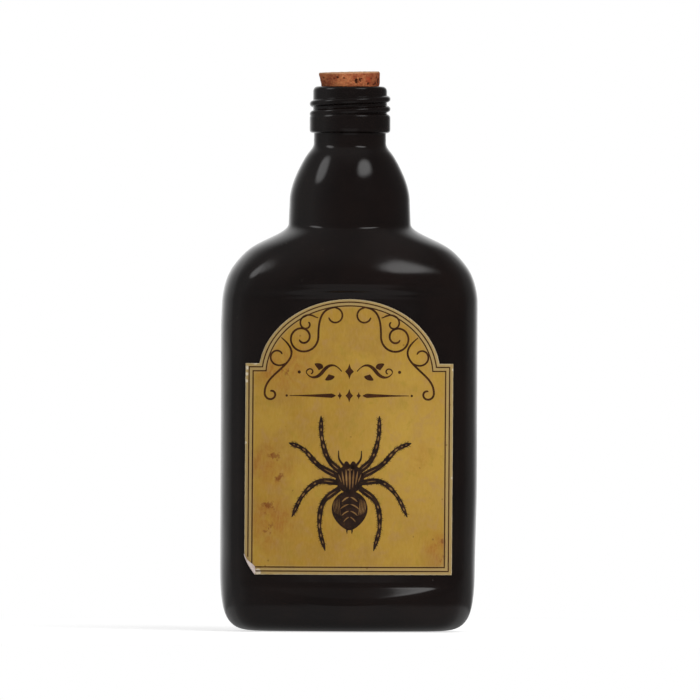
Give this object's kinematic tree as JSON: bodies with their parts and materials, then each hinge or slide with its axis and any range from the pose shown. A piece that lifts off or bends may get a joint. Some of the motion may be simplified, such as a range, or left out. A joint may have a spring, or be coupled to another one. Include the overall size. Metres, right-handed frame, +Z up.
{
  "type": "corked bottle",
  "caption": "Flat-sided black glass bottle with a bulb neck, screw finish, tapered cork stopper and aged arched paper label.",
  "frame": {"origin": "centre of the foot, on the surface the bottle stands on", "axes": "+Z up through the mouth, +X to the right seen from the label side, label facing -Y"},
  "size_m": [0.087, 0.0612, 0.1902],
  "materials": {
    "black_glass": "gloss",
    "cork": "matte",
    "aged_paper": "matte"
  },
  "bodies": {
    "bottle": {"bottle": "black_glass", "front_label": "aged_paper"},
    "cork": {"cork_stopper": "cork"}
  },
  "joints": [
    {"name": "cork_pull", "type": "slide", "parent": "bottle", "child": "cork", "axis": [0, 0, 1], "range_m": [0, 0.045]}
  ]
}
